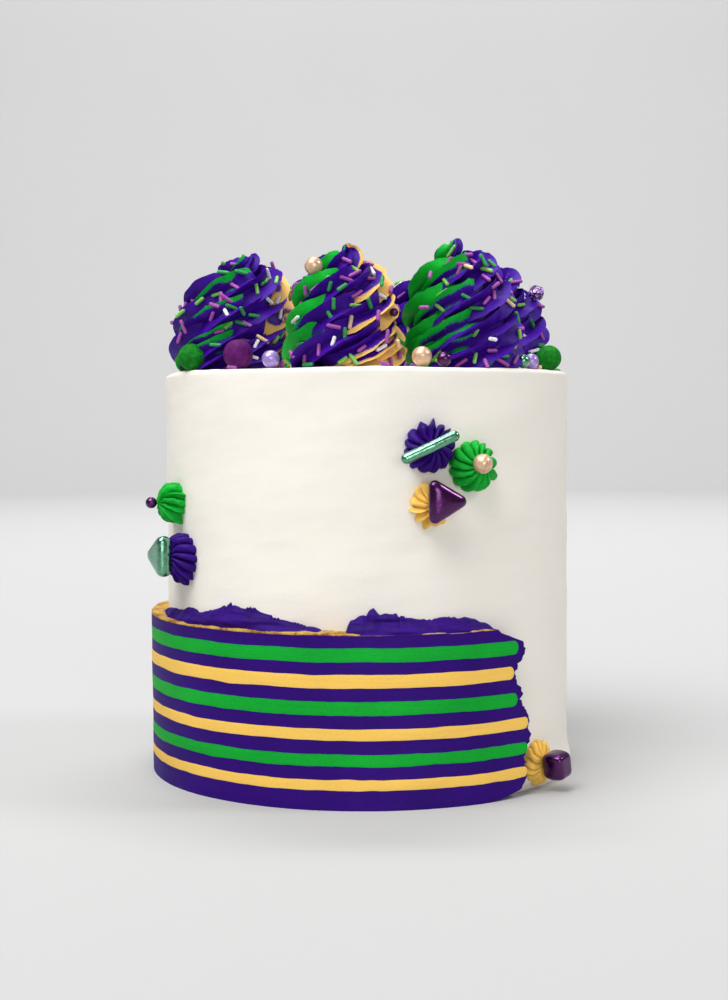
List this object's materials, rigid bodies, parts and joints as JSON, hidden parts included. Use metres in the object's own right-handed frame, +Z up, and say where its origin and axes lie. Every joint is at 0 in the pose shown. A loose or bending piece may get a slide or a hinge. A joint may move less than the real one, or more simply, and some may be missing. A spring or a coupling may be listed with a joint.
{
  "type": "decorated celebration cake",
  "caption": "Tall round iced cake with a striped band round its foot, piped swirls on top, piped stars, sweets, pearls and sprinkles.",
  "frame": {"origin": "centre of the flat base that the cake rests on", "axes": "+Z up through the cake's middle; the side with the cluster of three stars and the torn end of the band faces -Y"},
  "size_m": [0.1579, 0.1687, 0.1919],
  "materials": {
    "white_icing": "smooth white buttercream, satin",
    "purple_icing": "deep purple buttercream, satin",
    "green_icing": "bright green buttercream, satin",
    "gold_icing": "golden yellow buttercream, satin",
    "swirl_icing": "purple, green and gold buttercream piped together",
    "green_chocolate": "matte green coated chocolate ball",
    "purple_chocolate": "matte purple coated chocolate ball",
    "lilac_pearl": "lilac sugar pearl",
    "gold_pearl": "pale gold sugar pearl",
    "violet_metallic": "dark violet metallic sugar coating",
    "mint_metallic": "mint green metallic sugar coating"
  },
  "bodies": {
    "root": {"ball_green_back": "green_chocolate", "ball_green_left": "green_chocolate", "ball_green_right": "green_chocolate", "ball_mint_right": "mint_metallic", "ball_plum_front": "violet_metallic", "ball_plum_left": "violet_metallic", "ball_plum_rear": "violet_metallic", "ball_plum_small": "violet_metallic", "ball_purple_back": "purple_chocolate", "ball_purple_left": "purple_chocolate", "cake_body": "white_icing", "coat_purple": "purple_icing", "crystal_violet": "violet_metallic", "pearl_gold_back": "gold_pearl", "pearl_gold_front": "gold_pearl", "pearl_gold_high": "gold_pearl", "pearl_gold_rear": "gold_pearl", "pearl_gold_side": "gold_pearl", "pearl_lilac_back": "lilac_pearl", "pearl_lilac_left": "lilac_pearl", "pearl_lilac_rear": "lilac_pearl", "pearl_lilac_right": "lilac_pearl", "rim_gold": "gold_icing", "smear_back": "purple_icing", "smear_left": "purple_icing", "smear_right": "purple_icing", "star_gold_back": "gold_icing", "star_gold_foot": "gold_icing", "star_gold_front": "gold_icing", "star_green_back": "green_icing", "star_green_front": "green_icing", "star_green_left": "green_icing", "star_purple_back": "purple_icing", "star_purple_front": "purple_icing", "star_purple_left": "purple_icing", "stripe_gold_1": "gold_icing", "stripe_gold_3": "gold_icing", "stripe_gold_5": "gold_icing", "stripe_green_2": "green_icing", "stripe_green_4": "green_icing", "stripe_green_6": "green_icing", "sweet_cube": "violet_metallic", "sweet_rod": "mint_metallic", "sweet_triangle_front": "violet_metallic", "sweet_triangle_left": "mint_metallic", "swirl_1": "swirl_icing", "swirl_2": "swirl_icing", "swirl_3": "swirl_icing", "swirl_4": "swirl_icing", "swirl_5": "swirl_icing", "swirl_6": "swirl_icing", "swirl_7": "swirl_icing"}
  },
  "joints": []
}
